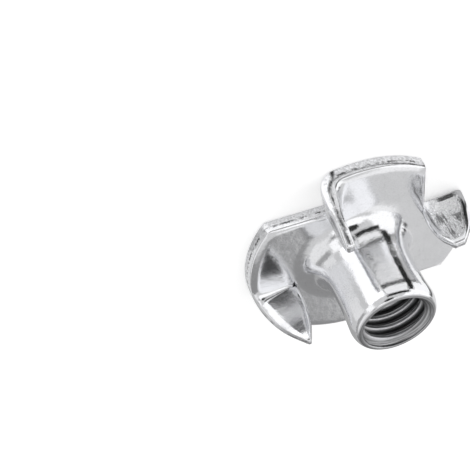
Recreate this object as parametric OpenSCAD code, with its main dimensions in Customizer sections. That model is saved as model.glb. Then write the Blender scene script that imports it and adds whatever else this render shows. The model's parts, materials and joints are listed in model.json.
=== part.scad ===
// Tee nut with four claws, one piece of sheet steel.
//
// A round blank is drawn up into a barrel, which carries the thread. Four slits
// are cut in from its rim, and the corner of sheet beside each slit is folded up
// along the barrel as a claw. The nut is pulled into the back of a panel: the
// barrel goes into the hole, the claws bite into the wood round it, and the
// flange stops it.
//
// The origin is in the middle of the flange's outer face. +Z runs along the
// barrel to its mouth, and the first wing of the flange points along +Y.

/* [Flange] */
// Diameter of the flange, which is the diameter of the blank's rim
flange_d = 19; // [17:0.5:25]
// Thickness of the sheet
sheet_t = 1.2; // [0.8:0.1:1.5]

/* [Claws] */
// Distance from the axis to the line of each slit
slit_offset = 5.65; // [5.4:0.05:6.8]
// Distance from a wing's middle line to the outer face of its claw, at the slit
claw_offset = 2.9; // [2.6:0.05:3.6]
// Angle by which a claw turns outward from its wing's middle line
claw_skew = 8.75; // [2:0.25:12]
// Radius inside the fold at the foot of a claw
fold_r = 0.25; // [0.15:0.05:0.6]
// How far the edge of a claw that faces the barrel bulges out of a straight line
claw_bulge = 0.6; // [0.1:0.05:0.8]
// How far the blunt tip of a claw ends below the point where its edges would meet
tip_cut = 0.3; // [0.1:0.05:1]

/* [Barrel] */
// Height of the nut, from the flange's outer face to the barrel's mouth
height = 9; // [7.5:0.5:16]
// Outer diameter of the barrel
barrel_d = 7.1; // [6.8:0.1:8.4]
// Radius of the flare where the barrel rises out of the flange
flare_r = 2.1; // [0.6:0.1:2.2]
// Radius of the barrel's outer edge at the mouth
mouth_r = 0.4; // [0.1:0.05:0.6]
// Radius where the flange's face rolls into the barrel
entry_r = 1; // [0.4:0.1:1.2]

/* [Thread] */
// Nominal diameter of the thread
thread_d = 6; // [5:1:6]
// Pitch of the thread
thread_pitch = 1; // [0.5:0.25:1]

/* [Hidden] */
$fn = 96;
claw_count = 4;
// Length by which a cutting shape runs past the solid that it cuts
past = 1;
// Gap between the sheet and the foot of a bulge that hangs over it
bulge_gap = 0.15;

flange_r = flange_d / 2;
barrel_r = barrel_d / 2;
// The bore is the thread's inner diameter, and its chamfers clear the thread
bore_r = (thread_d - thread_pitch) / 2;
chamfer = thread_d / 2 - bore_r;

// A fold takes its neutral line at the middle of the sheet
fold_outer = fold_r + sheet_t;
fold_length = (fold_r + sheet_t / 2) * PI / 2;
// Where the foot of a fold meets the slit, measured along the slit
slit_root = claw_offset - fold_outer / cos(claw_skew);
root_r = norm([slit_offset, slit_root]);
// The flare ends short of the slits
flare = min(flare_r, root_r - barrel_r - 0.1);
hub_r = barrel_r + flare;

// The blank's centre as seen from the point where the slit crosses the claw's
// outer face: along the claw, and across it
centre_v = -claw_offset * sin(claw_skew) - slit_offset * cos(claw_skew);
centre_u = slit_offset * sin(claw_skew) - claw_offset * cos(claw_skew);
// Where the foot of the fold reaches the rim
rim_v = centre_v + sqrt(flange_r ^ 2 - (fold_outer + centre_u) ^ 2);
// The blank's rim after folding, as a circle in the plane of the upright claw
rim_z = centre_u + 2 * fold_outer - fold_length;
rim_centre_v = rim_v - sqrt(flange_r ^ 2 - (fold_outer - rim_z) ^ 2);

// The slit's line leans outward there with the skew of the fold, and meets the
// rim at the root of a quadratic in the height
lean = tan(claw_skew);
function slit_line(z) = [(z - 2 * fold_outer) * lean, z];
quad_a = 1 + lean ^ 2;
quad_b = rim_z + lean * (rim_centre_v + 2 * fold_outer * lean);
quad_c = rim_z ^ 2 + (rim_centre_v + 2 * fold_outer * lean) ^ 2 - flange_r ^ 2;
claw_top = (quad_b + sqrt(quad_b ^ 2 - quad_a * quad_c)) / quad_a;
// The bulge is an arc over the slit's line, from the sheet to the claw's top
chord = slit_line(claw_top) - slit_line(sheet_t);
bulge_r = (chord * chord / 4 + claw_bulge ^ 2) / (2 * claw_bulge);
bulge_centre = (slit_line(claw_top) + slit_line(sheet_t)) / 2
    + (bulge_r - claw_bulge) * [chord[1], -chord[0]] / norm(chord);

function turned(p, a) = [p[0] * cos(a) - p[1] * sin(a), p[0] * sin(a) + p[1] * cos(a)];

// Corners of one wing's outline: the slit's two ends, then the far end of the
// line along which its claw is folded up
function wing_points() = [
    [slit_offset, slit_root],
    [slit_offset, flange_d],
    [-slit_root, slit_offset] + flange_d * [-sin(claw_skew), cos(claw_skew)]
];

// The flat sheet round the barrel, with a notch behind each slit
module sheet() {
    wings = [for (k = [0 : claw_count - 1], p = wing_points()) turned(p, k * 360 / claw_count)];
    linear_extrude(sheet_t)
        difference() {
            polygon(wings);
            circle(hub_r);
        }
}

// Section across a fold: a quarter turn of the sheet, then the sheet standing up
module fold_section() {
    intersection() {
        translate([fold_outer, fold_outer])
            difference() {
                circle(fold_outer);
                circle(fold_r);
            }
        translate([-past, -past])
            square(fold_outer + past);
    }
    translate([0, fold_outer])
        square([sheet_t, flange_r]);
}

// Side view of a claw: the slit's edge with its bulge, the blank's round rim and
// the blunt tip
module claw_outline() {
    foot = -past;
    intersection() {
        translate([rim_centre_v, rim_z])
            circle(flange_r);
        union() {
            polygon([
                slit_line(foot),
                [flange_d, foot],
                [flange_d, claw_top + past],
                slit_line(claw_top + past)
            ]);
            translate(bulge_centre)
                circle(bulge_r);
        }
        translate([-flange_d, foot])
            square([2 * flange_d, claw_top - tip_cut - foot]);
    }
}

// One claw with its fold, on the wing that points along +Y
module claw() {
    difference() {
        translate([-claw_offset, slit_offset, 0])
            rotate(claw_skew)
                intersection() {
                    translate([0, flange_r, 0])
                        rotate([90, 0, 0])
                            linear_extrude(flange_d)
                                fold_section();
                    translate([-past, 0, 0])
                        rotate([90, 0, 90])
                            linear_extrude(fold_outer + past)
                                claw_outline();
                }
        // Beside the next wing, and for a gap above it, nothing reaches across the slit
        translate([-flange_d, slit_offset - flange_d, -past])
            cube([2 * flange_d, flange_d, past + sheet_t + bulge_gap]);
    }
}

// The four wings and their claws, inside the blank's round rim
module flange() {
    intersection() {
        union() {
            sheet();
            for (k = [0 : claw_count - 1])
                rotate(k * 360 / claw_count)
                    claw();
        }
        translate([0, 0, -past])
            cylinder(r = flange_r, h = flange_d);
    }
}

// Half section of the barrel and its flare, from the bore out to the flange
module hub_section() {
    difference() {
        union() {
            square([barrel_r, height]);
            difference() {
                square([hub_r, sheet_t + flare]);
                translate([hub_r, sheet_t + flare])
                    circle(flare);
            }
        }
        // Bore
        translate([-past, -past])
            square([bore_r + past, height + 2 * past]);
        // Rolled entry in the flange's face
        intersection() {
            translate([bore_r - past, -past])
                square([past + entry_r + chamfer, past + entry_r]);
            difference() {
                translate([bore_r - past, -past])
                    square([past + entry_r + chamfer, past + entry_r]);
                translate([bore_r + chamfer + entry_r, entry_r])
                    circle(entry_r);
            }
        }
        // Chamfers at the two ends of the thread
        polygon([
            [bore_r - past, entry_r],
            [bore_r + chamfer, entry_r],
            [bore_r, entry_r + chamfer],
            [bore_r - past, entry_r + chamfer]
        ]);
        polygon([
            [bore_r - past, height - chamfer],
            [bore_r, height - chamfer],
            [bore_r + chamfer + past, height + past],
            [bore_r - past, height + past]
        ]);
        // Rounded outer edge at the mouth
        difference() {
            translate([barrel_r - mouth_r, height - mouth_r])
                square(mouth_r + past);
            translate([barrel_r - mouth_r, height - mouth_r])
                circle(mouth_r);
        }
    }
}

module tee_nut() {
    color("silver") {
        flange();
        rotate_extrude()
            hub_section();
    }
}

tee_nut();
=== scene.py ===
"""A four-claw tee nut: one blank of sheet steel, drawn into a barrel, slit and folded, then zinc plated.

The nut is one closed mesh. Its control cage follows the blank: columns and rows of sheet, which
claw_point() folds up at the claws, and rings that follow the barrel's profile. Subdivision rounds the
cage, and the thread is then laid into the bore as a fine grid. Zinc shows what it reflects, so most of
its look comes from the panels of the studio and from the cards that its reflections meet on the floor.
"""

import json
import math

import bmesh
import bpy
from mathutils import Matrix, Vector


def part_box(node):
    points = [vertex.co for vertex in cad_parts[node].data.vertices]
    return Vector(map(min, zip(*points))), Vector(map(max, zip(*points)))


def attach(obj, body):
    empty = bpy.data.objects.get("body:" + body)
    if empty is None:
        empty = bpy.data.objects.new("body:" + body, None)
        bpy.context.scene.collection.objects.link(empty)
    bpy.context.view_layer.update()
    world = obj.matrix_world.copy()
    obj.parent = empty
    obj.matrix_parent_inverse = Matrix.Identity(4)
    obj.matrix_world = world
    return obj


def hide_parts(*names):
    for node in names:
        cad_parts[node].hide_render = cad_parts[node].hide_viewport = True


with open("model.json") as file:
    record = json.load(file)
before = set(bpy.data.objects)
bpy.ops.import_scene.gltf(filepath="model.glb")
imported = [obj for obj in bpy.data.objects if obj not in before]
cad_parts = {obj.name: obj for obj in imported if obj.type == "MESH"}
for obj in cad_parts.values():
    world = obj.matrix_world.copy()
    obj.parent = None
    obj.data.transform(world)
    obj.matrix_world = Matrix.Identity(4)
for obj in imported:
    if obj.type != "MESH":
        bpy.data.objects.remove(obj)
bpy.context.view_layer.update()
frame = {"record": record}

NODE = "tee_nut"
MM = 0.001


def mount_radius(name):
    """Radius in mm of one of the record's mounts."""
    mounts = {mount["name"]: mount for mount in frame["record"]["mounts"]}
    return mounts[name]["dims"]["r_mm"]


# --- Sizes of the nut, in mm ---

CAD_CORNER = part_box(NODE)[1]
FLANGE_R = CAD_CORNER.y / MM
HEIGHT = CAD_CORNER.z / MM
BARREL_R = mount_radius("barrel")
BORE_R = mount_radius("thread")
SHEET = 1.2

# Distance from the axis to the middle line of each slit, and the slit's width
SLIT = 5.65
SLIT_GAP = 0.08
CLAW_SLIT = SLIT + SLIT_GAP / 2
WING_SLIT = SLIT - SLIT_GAP / 2

# A claw's outer face crosses the slit at this distance from its wing's middle line
CLAW_OFFSET = 2.9
CLAW_SKEW = math.radians(8.75)
# Outer radius of the fold in the CAD, and the length of sheet in it at the middle of its thickness
FOLD_OUTER = 1.45
FOLD_LENGTH = (FOLD_OUTER - SHEET / 2) * math.pi / 2
# Radius of each face in the fold: tight at the slit, and wider by so much for each mm towards the rim
FOLD_OUTER_AT_SLIT = 1.1
FOLD_OUTER_WIDENING = 0.06
FOLD_INNER_AT_SLIT = 0.2
FOLD_INNER_WIDENING = 0.24

# The upright claw bulges along the slit, towards the barrel, and along the rim, which also spreads
CLAW_BULGE = 0.72
RIM_BULGE = 0.12
RIM_SPREAD = 0.3
# The bulge follows a sine up the claw, between these shares of half a wave
BULGE_FROM = 0.15
BULGE_TO = 0.85
# Pressing the claw up drew it thinner, in full from this share of its height
CLAW_THINNING = 0.36
THINNED_FROM = 0.625
# Height of each claw's blunt tip. They differ a little, as on a real nut
TIP_HEIGHTS = (5.8, 6.55, 6.1, 5.5)

# The punch rolled the barrel-side edges over widely, and left the outer ones nearly sharp.
# Pressing the claws up rounded their outer edges too
ROLLED_EDGE = 0.52
BURR_EDGE = 0.14
CLAW_EDGE = 0.4

# The flare is a superellipse, so it leaves the flange and meets the barrel without a jump of curvature
FLARE_WIDE = 2.1
FLARE_TALL = 3.6
FLARE_SQUARENESS = 2.6
# The barrel is a little narrower above the flare, and swells towards its mouth
WAIST = 0.1
SWELL = 0.06
ENTRY_R = 1.0
MOUTH_WIDE = 0.5
MOUTH_TALL = 1.15
# The lip turns over inside the mouth, in by one length and down by the other
LIP_IN = 0.06
LIP_DOWN = 0.03
# Depth in the mouth at which the lip gives way to the thread's grid
LIP_DROP = 0.1

THREAD_DEPTH = 0.54
THREAD_PITCH = 1.0
# Shares of half a pitch that the flat crest and the flank take
THREAD_CREST = 0.2
THREAD_FLANK = 0.7

# --- How finely the cage is divided ---

WINGS = 4
# A wing's columns run round its flat part from its slit to its fold, through the fold, and up the claw
FLAT_COLUMNS = 12
FOLD_COLUMNS = 4
UPRIGHT_COLUMNS = 8
FOLD_END = FLAT_COLUMNS + FOLD_COLUMNS
TIP = FOLD_END + UPRIGHT_COLUMNS
# A wing's rows run from the hub out to the rim
ROWS = 7
# Between a wing's last flat column and the next wing lies the slit's round end
NOTCH = FLAT_COLUMNS + 1
HUB_COLUMNS = WINGS * (NOTCH + 1)
# The hub's rings go from the wings' uneven columns to even ones over this many rings
EVENING_RINGS = 3
FLARE_STEPS = 9
MOUTH_STEPS = 4
ENTRY_STEPS = 6
WALL_SHARES = (0.25, 0.5, 0.75)
# Radii of the rings on the outer face, between the wings and the rolled entry
OUTER_RINGS = (5.4, 4.85, 4.45)
# The rounding of a free edge grows from nothing over these rows and columns beside the slit's root
ROLLING_ROWS = 2
ROLLING_COLUMNS = 3
# A rounded edge takes at most this share of the length that it ends
WIDEST_EDGE = 0.25
# Share of the claw's width that is left in its last two columns, which rounds the tip's corners
TIP_WIDTHS = {TIP: 0.6, TIP - 1: 0.95}
# Tries in which a fold's radius and the place along it settle, because each depends on the other
FOLD_TRIES = 6
SUBDIVISIONS = 2
# Rings of the thread's grid in one pitch
THREAD_STEPS = 16


def clamped(value):
    return min(max(value, 0.0), 1.0)


def mixed(one, other, share):
    """A number that goes from one value to the other with share."""
    return one + (other - one) * share


# --- The two sides of the sheet ---

class Side:
    """One face of the sheet: how deep it lies below the outer face, and how it folds and ends."""

    def __init__(self, layer, depth, edge, fold_at_slit, fold_widening, grain):
        self.layer = layer
        self.depth = depth
        # Width of the rounding at a free edge
        self.edge = edge
        self.fold_at_slit = fold_at_slit
        self.fold_widening = fold_widening
        self.grain = grain

    def fold_reach(self, along):
        """Distance from the fold's centre to the sheet's outer face, at a distance along the fold."""
        return self.depth + self.fold_at_slit + self.fold_widening * max(along, 0.0)


# Through the thickness of a free edge, two layers lie between those of the faces
LAYERS = 4
CUT_LAYERS = (1, 2)
OUTER = Side(
    layer=0,
    depth=0.0,
    edge=CLAW_EDGE,
    fold_at_slit=FOLD_OUTER_AT_SLIT,
    fold_widening=FOLD_OUTER_WIDENING,
    grain=1.0,
)
INNER = Side(
    layer=LAYERS - 1,
    depth=SHEET,
    edge=ROLLED_EDGE,
    fold_at_slit=FOLD_INNER_AT_SLIT,
    fold_widening=FOLD_INNER_WIDENING,
    grain=0.0,
)


# --- The blank and its claws ---

# The fold starts at the slit. One direction runs along it, and the other across it in the blank
FOLD_ORIGIN = Vector((-CLAW_OFFSET, SLIT))
FOLD_LINE = Vector((-math.sin(CLAW_SKEW), math.cos(CLAW_SKEW)))
FOLD_ACROSS = Vector((-math.cos(CLAW_SKEW), -math.sin(CLAW_SKEW)))


def blank_point(along, across):
    return FOLD_ORIGIN + along * FOLD_LINE + across * FOLD_ACROSS


def slit_end(across):
    """Distance along the fold at which the blank's slit lies, at a distance across it."""
    return (CLAW_SLIT - SLIT - across * FOLD_ACROSS.y) / FOLD_LINE.y


def rim_end(across):
    """Distance along the fold at which the blank's rim lies, at a distance across it."""
    centre_along = -FOLD_ORIGIN.dot(FOLD_LINE)
    centre_across = -FOLD_ORIGIN.dot(FOLD_ACROSS)
    return centre_along + math.sqrt(FLANGE_R ** 2 - (across - centre_across) ** 2)


def bent(column):
    """Share of the fold's quarter turn that is done at a column."""
    return clamped((column - FLAT_COLUMNS) / FOLD_COLUMNS)


def risen(column):
    """Share of the upright claw's height that is reached at a column."""
    return clamped((column - FOLD_END) / UPRIGHT_COLUMNS)


def bulge(column):
    """Share of its full bulge that the claw has at a column. It starts halfway through the fold."""
    wave = math.sin(math.pi * mixed(BULGE_FROM, BULGE_TO, risen(column)))
    return wave * clamped(2 * bent(column) - 1) ** 2


def spread(column):
    """Length by which the claw's rim lies outside the blank's."""
    return RIM_SPREAD * risen(column) ** 2


def thinned(side, column):
    """Depth of a face of the upright claw below its outer face."""
    share = math.sin(math.pi / 2 * min(1.0, risen(column) / THINNED_FROM))
    return side.depth * (1 - CLAW_THINNING / SHEET * share)


def tapered(column, share):
    """Share of the way across the claw, drawn towards its middle at the tip."""
    return 0.5 + (share - 0.5) * TIP_WIDTHS.get(column, 1.0)


def claw_point(side, column, share, tip_height):
    """A point of the fold or of the upright claw, at a share of the way from the slit to the rim."""
    along = 0.0
    for _ in range(FOLD_TRIES):
        reach = side.fold_reach(along)
        if column <= FOLD_END:
            angle = bent(column) * math.pi / 2
            radius = reach - side.depth
            across = radius * math.sin(angle) - reach
            height = reach - radius * math.cos(angle)
            blank_across = bent(column) * (FOLD_LENGTH + 2 * (reach - FOLD_OUTER)) - reach
        else:
            across = -thinned(side, column)
            height = mixed(reach, tip_height, risen(column))
            blank_across = height + FOLD_LENGTH - 2 * FOLD_OUTER
        start = slit_end(blank_across) - CLAW_BULGE * bulge(column)
        end = rim_end(blank_across) + RIM_BULGE * bulge(column) + spread(column)
        along = mixed(start, end, tapered(column, share))
    place = blank_point(along, across)
    return Vector((place.x, place.y, height))


# --- Where a wing's points lie, before its edges are rounded ---

def spaced(count, length, edge, last_held=True):
    """Shares from 0 to 1 in count steps. The first step, and the last if it is held, is an edge wide."""
    edge = min(edge, length * WIDEST_EDGE) / length
    end = 1.0 - edge if last_held else 1.0
    steps = count - 1 - last_held
    shares = [edge + (end - edge) * i / steps for i in range(steps + 1)]
    return [0.0] + shares + ([1.0] if last_held else [])


def azimuth(place):
    return math.atan2(place.y, place.x)


def on_circle(radius, turn, height=0.0):
    return Vector((radius * math.cos(turn), radius * math.sin(turn), height))


def flat_columns(side):
    """Start at the hub and end at the rim of each column of a wing's flat part."""
    foot = claw_point(side, FLAT_COLUMNS, 0.0, 0.0)
    foot_rim = claw_point(side, FLAT_COLUMNS, 1.0, 0.0)
    root = Vector((WING_SLIT, -foot.x))
    root_rim = Vector((WING_SLIT, math.sqrt(FLANGE_R ** 2 - WING_SLIT ** 2)))
    hub_arc = root.length * math.pi / 2
    rim_arc = FLANGE_R * (azimuth(foot_rim) - azimuth(root_rim))
    starts = [
        on_circle(
            mixed(root.length, foot.xy.length, share),
            mixed(azimuth(root), azimuth(foot), share),
        )
        for share in spaced(FLAT_COLUMNS, hub_arc, side.edge, last_held=False)
    ]
    ends = [
        on_circle(FLANGE_R, mixed(azimuth(root_rim), azimuth(foot_rim), share))
        for share in spaced(FLAT_COLUMNS, rim_arc, side.edge, last_held=False)
    ]
    return list(zip(starts, ends))


def wing_grid(side, tip_height):
    """Where one side of a wing and its claw lies, by column and row."""
    grid = {}
    for column, (start, end) in enumerate(flat_columns(side)):
        for row, share in enumerate(spaced(ROWS, (end - start).length, side.edge)):
            flat = start.lerp(end, share)
            grid[column, row] = Vector((flat.x, flat.y, side.depth))
    for column in range(FLAT_COLUMNS + 1, TIP + 1):
        start, end = (claw_point(side, column, share, tip_height) for share in (0.0, 1.0))
        for row, share in enumerate(spaced(ROWS, (end - start).length, side.edge)):
            grid[column, row] = claw_point(side, column, share, tip_height)
    for row in range(ROWS + 1):
        # The step before the tip is held to the width of its edge
        last, before = grid[TIP, row], grid[TIP - 1, row]
        step = min(side.edge, (last - before).length / 2)
        grid[TIP - 1, row] = last + (before - last).normalized() * step
    return grid


# --- The cage ---

# What the zinc needs to know at each point: whether it is grained or was sheared, how far it lies
# along the free edge, and how deep below the outer face
LOOKS = ("grain", "sheared", "around", "depth")


class Cage:
    """Control points and faces. A point is named by a key, so neighbours share it."""

    def __init__(self):
        self.places = []
        self.looks = []
        self.keys = {}
        self.faces = []

    def point(self, key, place, grain, sheared, around, depth):
        self.keys[key] = len(self.places)
        self.places.append(place)
        self.looks.append((grain, sheared, around, depth))

    def face(self, *keys):
        self.faces.append([self.keys[key] for key in keys])

    def strip(self, one, other):
        """Faces between two rows of keys."""
        for (a, b), (c, d) in zip(zip(one, one[1:]), zip(other, other[1:])):
            self.face(a, b, d, c)


def quarter_turned(place, quarter):
    return Matrix.Rotation(quarter * math.pi / 2, 3, "Z") @ place


def edge_loop():
    """Columns and rows round a wing's free edge: its slit, its rim, the claw's tip and the claw's slit."""
    loop = [(0, row) for row in range(ROWS)]
    loop += [(column, ROWS) for column in range(TIP)]
    loop += [(TIP, row) for row in range(ROWS, 0, -1)]
    loop += [(column, 0) for column in range(TIP, FLAT_COLUMNS - 1, -1)]
    return loop


def inward(column, row):
    """The point of the grid next to a point of the free edge, away from the edge."""
    if column == 0:
        column = 1
    if column == TIP:
        column = TIP - 1
    if row == ROWS:
        row = ROWS - 1
    if row == 0 and column > FLAT_COLUMNS:
        row = 1
    return column, row


def rolled(column, row):
    """Share of its full rounding that the free edge has. It starts from nothing at the slit's root."""
    if column == 0:
        return min(1.0, row / ROLLING_ROWS)
    if row == 0:
        return min(1.0, (column - FLAT_COLUMNS) / ROLLING_COLUMNS)
    return 1.0


def burr(column):
    """Width of the outer face's rounding at a free edge, which grows over the fold."""
    return mixed(BURR_EDGE, CLAW_EDGE, bent(column))


def layer_depths(column):
    """Depths of the layers through a free edge: the two faces, and where their roundings end."""
    return 0.0, burr(column), SHEET - ROLLED_EDGE, SHEET


# Share of a round edge's radius by which the middle of its arc lies inside the sharp corner
ARC_INSET = 1 - math.sqrt(0.5)


def rounded(at, side, grids):
    """Where a point of the free edge goes when its edge is rounded: inward, and towards the other face."""
    share = rolled(*at) * ARC_INSET
    edge, other = ROLLED_EDGE, OUTER
    if side is OUTER:
        edge, other = burr(at[0]), INNER
        share *= (edge - BURR_EDGE) / (CLAW_EDGE - BURR_EDGE)
    place = grids[side][at]
    towards_other = place.lerp(grids[other][at], share * edge / SHEET)
    return towards_other + share * (grids[side][inward(*at)] - place)


def around_edge(at, grids):
    """A coordinate in mm that runs along the free edge."""
    place = grids[OUTER][at]
    return azimuth(place) * FLANGE_R + place.z


def add_face(cage, quarter, side, grids):
    """One side of a wing and its claw. The tool that rounded a claw's edges pressed their grain flat."""
    free = set(edge_loop())
    pressed = {at for at in free | {inward(*at) for at in free} if at[0] > FLAT_COLUMNS}
    for at, place in grids[side].items():
        if at in free:
            place = rounded(at, side, grids)
        key = (quarter, *at, side.layer)
        grain = 0.0 if at in pressed else side.grain
        cage.point(key, quarter_turned(place, quarter), grain, 0.0, around_edge(at, grids), side.depth)
    for row in range(ROWS):
        one, other = (
            [(quarter, column, line, side.layer) for column in range(TIP + 1)]
            for line in (row, row + 1)
        )
        cage.strip(one, other)


def add_free_edge(cage, quarter, grids):
    """The sheared edge between a wing's two sides."""
    loop = edge_loop()
    for at in loop:
        for layer in CUT_LAYERS:
            depth = layer_depths(at[0])[layer]
            place = quarter_turned(grids[OUTER][at].lerp(grids[INNER][at], depth / SHEET), quarter)
            cage.point((quarter, *at, layer), place, 0.0, 1.0, around_edge(at, grids), depth)
    for layer in range(LAYERS - 1):
        cage.strip([(quarter, *at, layer) for at in loop], [(quarter, *at, layer + 1) for at in loop])


def add_wing(cage, quarter):
    grids = {side: wing_grid(side, TIP_HEIGHTS[quarter]) for side in (OUTER, INNER)}
    for side in (OUTER, INNER):
        add_face(cage, quarter, side, grids)
    add_free_edge(cage, quarter, grids)


def notch_root():
    """The slit's round end in the blank: just past the corner where the claw's fold begins."""
    foot = claw_point(OUTER, FLAT_COLUMNS, 0.0, 0.0)
    return Vector((foot.x + SLIT_GAP / 2, SLIT))


def add_notch(cage, quarter):
    """The round end of the slit between one wing's claw and the next wing."""
    root = notch_root()
    for layer, depth in enumerate(layer_depths(FLAT_COLUMNS)):
        place = quarter_turned(Vector((root.x, root.y, depth)), quarter)
        grain = OUTER.grain if layer == OUTER.layer else 0.0
        sheared = 1.0 if layer in CUT_LAYERS else 0.0
        cage.point((quarter, NOTCH, 0, layer), place, grain, sheared, 0.0, depth)


def close_notch(cage, quarter):
    """The faces of the slit's round end, from one wing's claw to the next wing."""
    following = (quarter + 1) % WINGS
    across = [(quarter, FLAT_COLUMNS, 0), (quarter, NOTCH, 0), (following, 0, 0)]
    for layer in range(LAYERS - 1):
        cage.strip([(*at, layer) for at in across], [(*at, layer + 1) for at in across])


# --- The hub: the barrel, its flare and the rolled entry ---

def ring_turns(side):
    """Azimuths of the hub's columns: uneven where they meet the wings, and evenly spaced."""
    wing = [azimuth(start) for start, _ in flat_columns(side)]
    wing.append(azimuth(notch_root()))
    uneven = [turn + quarter * math.pi / 2 for quarter in range(WINGS) for turn in wing]
    step = 2 * math.pi / HUB_COLUMNS
    even = [wing[NOTCH] + (column - NOTCH) * step for column in range(HUB_COLUMNS)]
    return uneven, even


def arc(middle_r, middle_z, wide, tall, start, end, steps):
    """Points (radius, height) along an arc of an ellipse, from one angle to another in degrees."""
    turns = [math.radians(mixed(start, end, i / steps)) for i in range(steps + 1)]
    return [(middle_r + wide * math.cos(turn), middle_z + tall * math.sin(turn)) for turn in turns]


def flare():
    """Points (radius, height) up the barrel's foot."""
    points = []
    for i in range(FLARE_STEPS + 1):
        turn = math.pi / 2 * i / FLARE_STEPS
        narrowed = math.sin(turn) ** (2 / FLARE_SQUARENESS)
        lowered = max(0.0, math.cos(turn)) ** (2 / FLARE_SQUARENESS)
        radius = BARREL_R - WAIST + (FLARE_WIDE + WAIST) * (1 - narrowed)
        points.append((radius, SHEET + FLARE_TALL * (1 - lowered)))
    return points


def inner_profile():
    """Radius and height of the rings on the barrel's side, from the flange up the flare into the mouth."""
    foot = SHEET + FLARE_TALL
    top = HEIGHT - MOUTH_TALL
    wall = [
        (BARREL_R - WAIST + (WAIST + SWELL) * share ** 2, mixed(foot, top, share))
        for share in WALL_SHARES
    ]
    lip = BARREL_R - MOUTH_WIDE
    mouth = arc(lip, top, MOUTH_WIDE + SWELL, MOUTH_TALL, 0, 90, MOUTH_STEPS)
    chamfer_start = HEIGHT - LIP_DROP
    into_bore = [(lip - LIP_IN, HEIGHT - LIP_DOWN), (lip_radius(chamfer_start), chamfer_start)]
    return flare() + wall + mouth + into_bore


def outer_profile():
    """Radius and height of the rings on the outer side, from the wings into the bore."""
    flat = [(radius, 0.0) for radius in OUTER_RINGS]
    return flat + arc(BORE_R + THREAD_DEPTH + ENTRY_R, ENTRY_R, ENTRY_R, ENTRY_R, 270, 180, ENTRY_STEPS)


def lip_radius(height):
    """Radius of the chamfer in the mouth, which slopes at 45 degrees."""
    return BARREL_R - MOUTH_WIDE - (HEIGHT - height)


def entry_radius(height):
    """Radius of the chamfer at the thread's other end, which slopes at 45 degrees."""
    return BORE_R + THREAD_DEPTH - (height - ENTRY_R)


def add_hub(cage):
    for side, profile in ((INNER, inner_profile()), (OUTER, outer_profile())):
        uneven, even = ring_turns(side)
        ring = [(quarter, column, 0, side.layer) for quarter in range(WINGS) for column in range(NOTCH + 1)]
        for number, (radius, height) in enumerate(profile):
            evenness = min(1.0, (number + 1) / EVENING_RINGS)
            following = []
            for column in range(HUB_COLUMNS):
                turn = mixed(uneven[column], even[column], evenness)
                key = ("hub", side.layer, number, column)
                cage.point(key, on_circle(radius, turn, height), side.grain, 0.0, turn * radius, side.depth)
                following.append(key)
            cage.strip(ring + ring[:1], following + following[:1])
            ring = following


def build_cage():
    cage = Cage()
    for quarter in range(WINGS):
        add_wing(cage, quarter)
        add_notch(cage, quarter)
    for quarter in range(WINGS):
        close_notch(cage, quarter)
    add_hub(cage)
    return cage


# --- From the cage to the nut ---

def cage_object(cage):
    mesh = bpy.data.meshes.new("tee_nut_cage")
    mesh.from_pydata([place * MM for place in cage.places], [], cage.faces)
    for number, name in enumerate(LOOKS):
        attribute = mesh.attributes.new(name, "FLOAT", "POINT")
        attribute.data.foreach_set("value", [look[number] for look in cage.looks])
    piece = bpy.data.objects.new("tee_nut_cage", mesh)
    bpy.context.scene.collection.objects.link(piece)
    return piece


def subdivided(piece):
    """The piece's mesh after Catmull-Clark subdivision, as a bmesh. The piece is removed."""
    smooth = piece.modifiers.new("round", "SUBSURF")
    smooth.levels = smooth.render_levels = SUBDIVISIONS
    seen = piece.evaluated_get(bpy.context.evaluated_depsgraph_get())
    surface = bmesh.new()
    surface.from_mesh(seen.to_mesh())
    seen.to_mesh_clear()
    bpy.data.objects.remove(piece)
    return surface


def bore_ends(surface):
    """The two open rings of the bore, at the mouth and at the flange, each in order of azimuth."""
    free = {vertex for edge in surface.edges if edge.is_boundary for vertex in edge.verts}
    in_order = sorted(free, key=lambda vertex: azimuth(vertex.co))
    half = HEIGHT * MM / 2
    mouth = [vertex for vertex in in_order if vertex.co.z > half]
    foot = [vertex for vertex in in_order if vertex.co.z <= half]
    return mouth, foot


def smooth_step(value):
    value = clamped(value)
    return value * value * (3 - 2 * value)


def thread_radius(turn, height):
    """Radius of the tapped bore: a rounded thread, cleared by the chamfer at either end."""
    place = (height / THREAD_PITCH - turn / (2 * math.pi)) % 1.0
    from_crest = abs(place - 0.5) * 2
    depth = THREAD_DEPTH * smooth_step((from_crest - THREAD_CREST) / THREAD_FLANK)
    return max(BORE_R + depth, lip_radius(height), entry_radius(height))


def lay_thread(surface):
    """Fills the bore with a grid of quads that carries the thread."""
    mouth, foot = bore_ends(surface)
    top = mouth[0].co.z / MM
    bottom = foot[0].co.z / MM
    steps = round((top - bottom) / THREAD_PITCH * THREAD_STEPS)
    rings = [mouth]
    for step in range(1, steps):
        height = mixed(top, bottom, step / steps)
        ring = []
        for vertex in mouth:
            turn = azimuth(vertex.co)
            place = on_circle(thread_radius(turn, height), turn, height)
            ring.append(surface.verts.new(place * MM))
        rings.append(ring)
    rings.append(foot)
    for one, other in zip(rings, rings[1:]):
        for number in range(len(one)):
            after = (number + 1) % len(one)
            surface.faces.new((one[number], one[after], other[after], other[number]))


def build_nut():
    surface = subdivided(cage_object(build_cage()))
    lay_thread(surface)
    bmesh.ops.recalc_face_normals(surface, faces=surface.faces)
    mesh = bpy.data.meshes.new("zinc_plated_tee_nut")
    surface.to_mesh(mesh)
    surface.free()
    mesh.shade_smooth()
    piece = bpy.data.objects.new("zinc_plated_tee_nut", mesh)
    bpy.context.scene.collection.objects.link(piece)
    return piece


# --- Shader nodes ---

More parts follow.
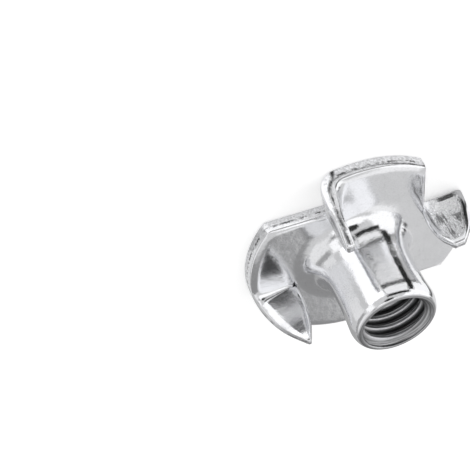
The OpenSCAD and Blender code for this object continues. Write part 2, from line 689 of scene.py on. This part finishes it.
class Nodes:
    """Makes the nodes of a material or a world. A value is a number, a vector or another node's socket."""

    def __init__(self, owner):
        owner.use_nodes = True
        self.tree = owner.node_tree
        self.tree.nodes.clear()

    def node(self, kind, inputs=None, **settings):
        """A node with its settings, and each input set or linked."""
        made = self.tree.nodes.new(kind)
        for name, value in settings.items():
            setattr(made, name, value)
        for name, value in (inputs or {}).items():
            if isinstance(value, bpy.types.NodeSocket):
                self.tree.links.new(value, made.inputs[name])
            else:
                made.inputs[name].default_value = value
        return made

    def maths(self, operation, *values):
        return self.node("ShaderNodeMath", dict(enumerate(values)), operation=operation).outputs[0]

    def product(self, *values):
        result = values[0]
        for value in values[1:]:
            result = self.maths("MULTIPLY", result, value)
        return result

    def vectors(self, operation, *values):
        return self.node("ShaderNodeVectorMath", dict(enumerate(values)), operation=operation).outputs

    def vector(self, x, y, z):
        return self.node("ShaderNodeCombineXYZ", {0: x, 1: y, 2: z}).outputs[0]

    def colour(self, red, green, blue):
        return self.node("ShaderNodeCombineColor", {0: red, 1: green, 2: blue}).outputs[0]

    def blended(self, share, one, other):
        """A number that goes from one value to the other with share."""
        return self.node("ShaderNodeMix", {0: share, 2: one, 3: other}, data_type="FLOAT").outputs[0]

    def ranged(self, value, span, levels=(0.0, 1.0)):
        """A value mapped smoothly from a span to the levels at its two ends."""
        inputs = {
            "Value": value,
            "From Min": span[0],
            "From Max": span[1],
            "To Min": levels[0],
            "To Max": levels[1],
        }
        return self.node("ShaderNodeMapRange", inputs, interpolation_type="SMOOTHSTEP").outputs[0]

    def noise(self, place, scale, detail, roughness=0.5):
        """Noise from 0 to 1, with so many patches per mm."""
        inputs = {"Vector": place, "Scale": scale, "Detail": detail, "Roughness": roughness}
        return self.node("ShaderNodeTexNoise", inputs).outputs[0]

    def attribute(self, name):
        return self.node("ShaderNodeAttribute", attribute_name=name).outputs["Fac"]

    def bumped(self, height, size, under=None):
        """Normal for a height from 0 to 1 that stands for a size in mm, over another normal."""
        inputs = {"Height": height, "Distance": size * MM, "Strength": 1.0}
        if under:
            inputs["Normal"] = under
        return self.node("ShaderNodeBump", inputs).outputs[0]


# --- Zinc ---

# Where a look lies, in mm. It goes from nothing at the first value to full at the second
HUB_RADII = (6.2, 4.6)
HUB_HEIGHTS = (1.0, 1.6)
BORE_RADII = (3.32, 3.16)
BORE_HEIGHTS = (0.6, 1.2)
MOUTH_HEIGHTS = (8.3, 8.6)
THREAD_RADII = (2.5, 2.95)
# The seam lies where the depth in the sheet, plus a noise of this size, is between its start and its end
SEAM_WANDER = 0.5
SEAM_STARTS = (0.8, 0.88)
SEAM_ENDS = (1.02, 0.94)
# Painted shade lies low on the claw's outer side, on the half next to the rim, where the fold would mirror
# the shaded floor under the flange
PAINTED_FOLD_SHADE_STARTS = (0.58, 0.7)
PAINTED_FOLD_SHADE_ENDS = (1.25, 1.05)
PAINTED_FOLD_SHADE_RADII = (7.0, 8.0)
# A white bloom covers the flange's outer face and the claws' feet. It ends, and the draw marks
# start, along a line that leans and wanders across each claw
CLAW_LEAN = -0.5
CLAW_WANDER = 2.5
BLOOM_SPAN = (0.1, -0.4)
DRAW_MARK_SPAN = (-0.5, 0.2)

# Stretch of a noise over which it takes a look from its first level to its second
EVEN_SPAN = (0.35, 0.65)
SEAM_GAPS = (0.45, 0.55)
PAINTED_FOLD_SHADE_GAPS = (0.36, 0.46)
BLOOM_SPECKS = (0.34, 0.48)
DRAW_MARK_EDGES = (0.42, 0.54)
PITS = (0.3, 0.5)
PAINTED_FOLD_SHADE_SPAN = (0.1, 0.6)

# Brightness of the metal in each look, as shares of white
PLATE_LEVELS = (0.84, 0.92)
GRAIN_LEVELS = (0.7, 1.0)
BLOOM_LEVELS = (0.74, 1.0)
DRAW_MARK_LEVELS = (0.3, 1.0)
# Painted shade low on the claws' outer side takes the metal down to a tenth
PAINTED_FOLD_SHADE_LEVELS = (1.0, 0.1)
TORN_LEVELS = (0.58, 0.96)
SEAM_LEVEL = 0.12
# Painted shade in the bore: dimmer on the thread's crests and nearly black in its roots
THREAD_ROOT_SHADE_LEVELS = (0.66, 0.14)
CHAMFER_LEVELS = (0.15, 0.62)
PIT_LEVELS = (0.9, 1.0)
# Zinc is a little blue
GREEN = 1.005
BLUE = 1.025
# The bloom is partly a white powder
BLOOM_METAL = 0.6

FLAT_ROUGHNESS = 0.11
HUB_ROUGHNESS = 0.06
GRAIN_ROUGHNESS = 0.18
TORN_ROUGHNESS = 0.2
BORE_ROUGHNESS = 0.36
FINE_ROUGHNESS = 0.06

# Heights of the bumps, in mm
WAVES = 0.015
FINE_BUMPS = 0.007
PEEL_BUMPS = 0.08
STREAK_BUMPS = 0.006
# Away from the hub, the fine bumps have this share of their height
FINE_OFF_HUB = 0.5


class Zinc:
    """Bright zinc plate: polished on the barrel, satin on the wings, grained outside, torn where sheared."""

    def __init__(self):
        self.material = bpy.data.materials.new("zinc_plated_steel")
        self.nodes = Nodes(self.material)
        self.find_places()
        self.make_noises()
        self.find_marks()
        inputs = {
            "Base Color": self.colour(),
            "Metallic": self.nodes.blended(self.bloom, 1.0, BLOOM_METAL),
            "Roughness": self.roughness(),
            "Normal": self.normal(),
        }
        shader = self.nodes.node("ShaderNodeBsdfPrincipled", inputs)
        self.nodes.node("ShaderNodeOutputMaterial", {"Surface": shader.outputs[0]})

    def find_places(self):
        """Coordinates in mm, and how much a point belongs to the hub, the bore and the mouth."""
        nodes = self.nodes
        metres = nodes.node("ShaderNodeTexCoord").outputs["Object"]
        self.place = nodes.vectors("MULTIPLY", metres, (1 / MM, 1 / MM, 1 / MM))["Vector"]
        self.height = nodes.node("ShaderNodeSeparateXYZ", {0: self.place}).outputs["Z"]
        from_axis = nodes.vectors("MULTIPLY", self.place, (1, 1, 0))["Vector"]
        self.radius = nodes.vectors("LENGTH", from_axis)["Value"]
        self.grain = nodes.attribute("grain")
        self.sheared = nodes.attribute("sheared")
        self.depth = nodes.attribute("depth")
        # Marks left by the punch run through the sheet, so they vary along the edge only
        self.along_edge = nodes.vector(nodes.attribute("around"), 0.0, 0.0)
        # Marks left by the tap and by drawing the barrel run round the axis
        self.across_rings = nodes.vector(self.radius, self.height, 0.0)
        self.hub = nodes.product(
            nodes.ranged(self.radius, HUB_RADII), nodes.ranged(self.height, HUB_HEIGHTS)
        )
        self.bore = nodes.product(
            nodes.ranged(self.radius, BORE_RADII), nodes.ranged(self.height, BORE_HEIGHTS)
        )
        self.mouth = nodes.ranged(self.height, MOUTH_HEIGHTS)

    def make_noises(self):
        noise = self.nodes.noise
        self.waves = noise(self.place, 1.4, 2.0)
        self.mottle = noise(self.place, 0.8, 3.0)
        self.fine = noise(self.place, 7.0, 3.0, 0.6)
        self.speckle = noise(self.place, 5.0, 5.0, 0.75)
        self.pits = noise(self.place, 9.0, 2.0, 0.6)
        self.peel = self.nodes.ranged(noise(self.place, 4.5, 3.0, 0.6), EVEN_SPAN)
        self.streaks = noise(self.along_edge, 3.5, 3.0, 0.7)
        self.dashes = noise(self.along_edge, 1.1, 3.0)
        self.rings = noise(self.across_rings, 7.0, 3.0, 0.7)
        # Draw marks are long upward
        drawn_place = self.nodes.vectors("MULTIPLY", self.place, (1, 1, 0.15))["Vector"]
        self.draw_marks = noise(drawn_place, 3.0, 3.0, 0.6)

    def find_marks(self):
        """Where the sheet's seam, the claws' bloom and draw marks, and the painted shade low on the claws,
        come and go.
        """
        nodes = self.nodes
        # The seam lies where the punch's clean cut ends and the sheet broke off
        wandering = nodes.maths("MULTIPLY_ADD", self.speckle, SEAM_WANDER, self.depth)
        self.seam = nodes.product(
            nodes.ranged(wandering, SEAM_STARTS),
            nodes.ranged(wandering, SEAM_ENDS),
            nodes.ranged(self.dashes, SEAM_GAPS),
            self.sheared,
        )
        # Painted shade low on the claws' outer side, where the fold would mirror the shaded floor, broken
        # into patches by the speckle
        self.painted_fold_shade = nodes.product(
            nodes.ranged(self.height, PAINTED_FOLD_SHADE_STARTS),
            nodes.ranged(self.height, PAINTED_FOLD_SHADE_ENDS),
            nodes.ranged(self.radius, PAINTED_FOLD_SHADE_RADII),
            nodes.ranged(self.speckle, PAINTED_FOLD_SHADE_GAPS),
        )
        leaning = nodes.maths("MULTIPLY_ADD", self.radius, CLAW_LEAN, self.height)
        up_claw = nodes.maths("MULTIPLY_ADD", self.speckle, CLAW_WANDER, leaning)
        self.drawn = nodes.ranged(up_claw, DRAW_MARK_SPAN)
        self.bloomed = nodes.product(self.grain, nodes.ranged(up_claw, BLOOM_SPAN))
        # The bloom gives way to the painted shade low on the claws
        self.bloom = nodes.product(self.bloomed, nodes.ranged(self.painted_fold_shade, PAINTED_FOLD_SHADE_SPAN, (1.0, 0.0)))

    def outer_level(self):
        """Brightness of the grained outer side, with the claws' draw marks and bloom, and painted shade low
        on the claws.
        """
        nodes = self.nodes
        grained = nodes.ranged(self.speckle, EVEN_SPAN, GRAIN_LEVELS)
        drawn = nodes.product(grained, nodes.ranged(self.draw_marks, DRAW_MARK_EDGES, DRAW_MARK_LEVELS))
        level = nodes.blended(self.drawn, grained, drawn)
        level = nodes.blended(self.bloomed, level, nodes.ranged(self.speckle, BLOOM_SPECKS, BLOOM_LEVELS))
        # Painted shade low on the claws
        return nodes.product(level, nodes.ranged(self.painted_fold_shade, PAINTED_FOLD_SHADE_SPAN, PAINTED_FOLD_SHADE_LEVELS))

    def bore_level(self):
        """Brightness in the bore: painted shade in the thread's roots, and ringed on the mouth's chamfer."""
        nodes = self.nodes
        # Painted shade, deepest in the thread's roots
        root_shaded = nodes.ranged(self.radius, THREAD_RADII, THREAD_ROOT_SHADE_LEVELS)
        chamfered = nodes.ranged(self.rings, EVEN_SPAN, CHAMFER_LEVELS)
        return nodes.blended(self.mouth, root_shaded, chamfered)

    def colour(self):
        nodes = self.nodes
        level = nodes.blended(self.mottle, *PLATE_LEVELS)
        level = nodes.blended(self.grain, level, self.outer_level())
        level = nodes.blended(self.sheared, level, nodes.ranged(self.speckle, EVEN_SPAN, TORN_LEVELS))
        level = nodes.blended(self.seam, level, SEAM_LEVEL)
        level = nodes.blended(self.bore, level, self.bore_level())
        level = nodes.product(level, nodes.ranged(self.pits, PITS, PIT_LEVELS))
        return nodes.colour(level, nodes.product(level, GREEN), nodes.product(level, BLUE))

    def roughness(self):
        nodes = self.nodes
        rough = nodes.blended(self.hub, FLAT_ROUGHNESS, HUB_ROUGHNESS)
        rough = nodes.blended(self.grain, rough, GRAIN_ROUGHNESS)
        rough = nodes.blended(self.sheared, rough, TORN_ROUGHNESS)
        rough = nodes.blended(self.bore, rough, BORE_ROUGHNESS)
        return nodes.maths("MULTIPLY_ADD", self.fine, FINE_ROUGHNESS, rough)

    def normal(self):
        nodes = self.nodes
        fine = nodes.product(self.fine, nodes.blended(self.hub, FINE_OFF_HUB, 1.0))
        normal = nodes.bumped(self.waves, WAVES)
        normal = nodes.bumped(fine, FINE_BUMPS, normal)
        normal = nodes.bumped(nodes.product(self.peel, self.grain), PEEL_BUMPS, normal)
        return nodes.bumped(nodes.product(self.streaks, self.sheared), STREAK_BUMPS, normal)


# --- Studio ---

def direction(turn, rise):
    """Unit vector at an azimuth and an elevation in degrees."""
    turn, rise = math.radians(turn), math.radians(rise)
    return Vector((math.cos(rise) * math.cos(turn), math.cos(rise) * math.sin(turn), math.sin(rise)))


class Panel:
    """A soft-edged stretch of the studio between two azimuths and two elevations, in degrees."""

    def __init__(self, turns, rises, soft, level):
        self.turns = turns
        self.rises = rises
        self.soft = soft
        self.level = level

    def share(self, nodes, toward):
        """How much of what lies toward a heading is this panel."""
        turn = sum(self.turns) / 2
        ahead, aside = (
            nodes.vectors("DOT_PRODUCT", toward, direction(turn + quarter, 0))["Value"]
            for quarter in (0, 90)
        )
        height = nodes.vectors("DOT_PRODUCT", toward, (0.0, 0.0, 1.0))["Value"]
        off_turn = nodes.maths("ARCTAN2", aside, ahead)
        off_rise = nodes.maths("SUBTRACT", nodes.maths("ARCSINE", height), math.radians(sum(self.rises) / 2))
        return nodes.product(
            self.side_share(nodes, off_turn, self.turns), self.side_share(nodes, off_rise, self.rises)
        )

    def side_share(self, nodes, off, ends):
        """Share, from 0 to 1, by which an angle off the panel's middle lies between two of its ends."""
        half = (ends[1] - ends[0]) / 2
        span = math.radians(half + self.soft / 2), math.radians(half - self.soft / 2)
        return nodes.ranged(nodes.maths("ABSOLUTE", off), span)


class Disc:
    """A soft-edged round patch of the studio about a heading. Its size is its radius in degrees."""

    def __init__(self, turn, rise, size, soft, level):
        self.heading = direction(turn, rise)
        self.size = size
        self.soft = soft
        self.level = level

    def share(self, nodes, toward):
        """How much of what lies toward a heading is this disc."""
        facing = nodes.vectors("DOT_PRODUCT", toward, self.heading)["Value"]
        span = [math.cos(math.radians(self.size + side * self.soft / 2)) for side in (1, -1)]
        return nodes.ranged(facing, span)


def laid(nodes, toward, level, shapes):
    """Brightness toward a heading, where shapes lie over one level and each covers those before it."""
    for shape in shapes:
        level = nodes.blended(shape.share(nodes, toward), level, shape.level)
    return level


# Cards on the floor, which only the metal's reflections see. They are laid out by azimuth and
# elevation, as seen from a point on the axis this many mm above the floor
CARDS_SEEN_FROM = 5.0
CARDS = (
    # Pale sheets on the left, with a brighter strip beyond the first
    Panel(turns=(104, 180), rises=(-60, -27), soft=3, level=0.84),
    Panel(turns=(104, 147), rises=(-27, 0), soft=3, level=1.2),
    # Greys that run on round the left and the back
    Panel(turns=(147, 165), rises=(-60, 0), soft=4, level=0.58),
    Panel(turns=(165, 198), rises=(-60, 0), soft=4, level=0.76),
    Panel(turns=(198, 226), rises=(-60, 0), soft=6, level=0.56),
    Panel(turns=(226, 292), rises=(-60, 0), soft=6, level=0.38),
    # A pale sheet on the right, with a black strip beside it
    Panel(turns=(300, 336), rises=(-60, 0), soft=6, level=0.72),
    Panel(turns=(336, 345), rises=(-60, 0), soft=3, level=0.04),
    # A pale grey card with a black edge before the barrel, and a black line across it
    Panel(turns=(31.5, 103), rises=(-60, 0), soft=1.2, level=0.02),
    Panel(turns=(46.5, 101), rises=(-60, 0), soft=1.2, level=0.86),
    Panel(turns=(46.5, 101), rises=(-22.4, -18.4), soft=0.3, level=0.02),
    # A darker card with a black edge, to the right of it
    Panel(turns=(14, 36), rises=(-60, -18.6), soft=0.8, level=0.02),
    Panel(turns=(14, 30), rises=(-60, -21.0), soft=0.8, level=0.48),
    # A white card that ends under the flange's edge, and lights the outer face of one claw
    Panel(turns=(22, 62), rises=(-60, -27.8), soft=0.6, level=1.2),
)

TENT_LEVEL = 0.66
SKY = (
    # Pale left side of the tent, with a white strip and a grey gap at its edge
    Panel(turns=(165, 235), rises=(16, 62), soft=10, level=0.86),
    Panel(turns=(140, 161), rises=(-20, 36), soft=5, level=1.1),
    Panel(turns=(144, 158), rises=(43, 57), soft=6, level=0.3),
    # Grey gap behind the nut
    Panel(turns=(170, 236), rises=(-30, 16), soft=8, level=0.38),
    Panel(turns=(236, 286), rises=(-30, 46), soft=8, level=0.28),
    # White window on the right, with a dark gap at its edge
    Panel(turns=(288, 345), rises=(46, 68), soft=8, level=0.95),
    Panel(turns=(338, 412), rises=(-30, 64), soft=8, level=1.15),
    Panel(turns=(331, 341), rises=(5, 19), soft=5, level=0.1),
    # Overhead light on the camera's side
    Disc(turn=100, rise=68, size=24, soft=8, level=1.15),
    # Dark cloth under the camera, over the pale edge of the floor, and the dark camera
    Panel(turns=(43, 100), rises=(-30, 18), soft=3, level=0.02),
    Panel(turns=(49, 95), rises=(-30, 4), soft=3, level=0.8),
    Disc(turn=98, rise=42, size=13, soft=4, level=0.03),
)

# Half the floor's width in mm, and how far it lies below the nut, so that no two faces share a plane
FLOOR_HALF = 600
FLOOR_DROP = 0.01
# The paper's own colour, and the light that the camera and reflections see on top, as shares of white
PAPER_LEVEL = 0.8
PAPER_GLOW = 0.45


def paper():
    """Pale floor that goes to plain white where nothing shades it."""
    material = bpy.data.materials.new("pale_floor")
    nodes = Nodes(material)
    place = nodes.node("ShaderNodeTexCoord").outputs["Object"]
    sight = nodes.vectors("ADD", place, (0.0, 0.0, -CARDS_SEEN_FROM * MM))["Vector"]
    toward = nodes.vectors("NORMALIZE", sight)["Vector"]
    path = nodes.node("ShaderNodeLightPath").outputs
    shown = nodes.blended(path["Is Glossy Ray"], 1.0, laid(nodes, toward, 1.0, CARDS))
    seen = nodes.maths("MAXIMUM", path["Is Camera Ray"], path["Is Glossy Ray"])
    seen = nodes.maths("MAXIMUM", seen, path["Is Transmission Ray"])
    glow = nodes.product(seen, PAPER_GLOW, shown)
    pale = nodes.product(PAPER_LEVEL, shown)
    lit = nodes.node("ShaderNodeBsdfDiffuse", {"Color": nodes.colour(pale, pale, pale)})
    shine = nodes.node("ShaderNodeEmission", {"Color": (1, 1, 1, 1), "Strength": glow})
    both = nodes.node("ShaderNodeAddShader", {0: lit.outputs[0], 1: shine.outputs[0]})
    nodes.node("ShaderNodeOutputMaterial", {"Surface": both.outputs[0]})
    return material


def add_floor():
    half, drop = FLOOR_HALF * MM, -FLOOR_DROP * MM
    corners = [(-half, -half, drop), (half, -half, drop), (half, half, drop), (-half, half, drop)]
    mesh = bpy.data.meshes.new("floor")
    mesh.from_pydata(corners, [], [(0, 1, 2, 3)])
    mesh.materials.append(paper())
    floor = bpy.data.objects.new("floor", mesh)
    bpy.context.scene.collection.objects.link(floor)


def add_sky():
    """The studio round the nut, which the camera sees as plain white."""
    world = bpy.data.worlds.new("studio")
    nodes = Nodes(world)
    toward = nodes.node("ShaderNodeTexCoord").outputs["Generated"]
    seen = nodes.node("ShaderNodeLightPath").outputs["Is Camera Ray"]
    light = nodes.blended(seen, laid(nodes, toward, TENT_LEVEL, SKY), 1.0)
    shade = nodes.node("ShaderNodeBackground", {"Color": (1, 1, 1, 1), "Strength": light})
    nodes.node("ShaderNodeOutputWorld", {"Surface": shade.outputs[0]})
    bpy.context.scene.world = world


# The camera looks down at the barrel's side, and is rolled so that the barrel points down to the right.
# Lengths are in mm, and angles in degrees
CAMERA_AIM = Vector((-9.05, 0.81, -3.46))
CAMERA_AZIMUTH = 102.24
CAMERA_ELEVATION = 38.03
CAMERA_ROLL = 155.66
CAMERA_DISTANCE = 110.4
CAMERA_LENS = 103.56
CAMERA_SENSOR = 36


def add_camera():
    back = direction(CAMERA_AZIMUTH, CAMERA_ELEVATION)
    roll = math.radians(CAMERA_ROLL)
    level_up = (Vector((0, 0, 1)) - back.z * back).normalized()
    up = math.cos(roll) * level_up + math.sin(roll) * back.cross(level_up)
    right = up.cross(back)
    place = (CAMERA_AIM + CAMERA_DISTANCE * back) * MM
    lens = bpy.data.cameras.new("camera")
    lens.lens = CAMERA_LENS
    lens.sensor_width = CAMERA_SENSOR
    lens.clip_start = 1 * MM
    camera = bpy.data.objects.new("camera", lens)
    camera.matrix_world = Matrix.Translation(place) @ Matrix((right, up, back)).transposed().to_4x4()
    bpy.context.scene.collection.objects.link(camera)
    bpy.context.scene.camera = camera


nut = build_nut()
nut.data.materials.append(Zinc().material)
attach(nut, "root")
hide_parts(NODE)

add_floor()
add_sky()
add_camera()
bpy.context.scene.view_settings.view_transform = "Standard"
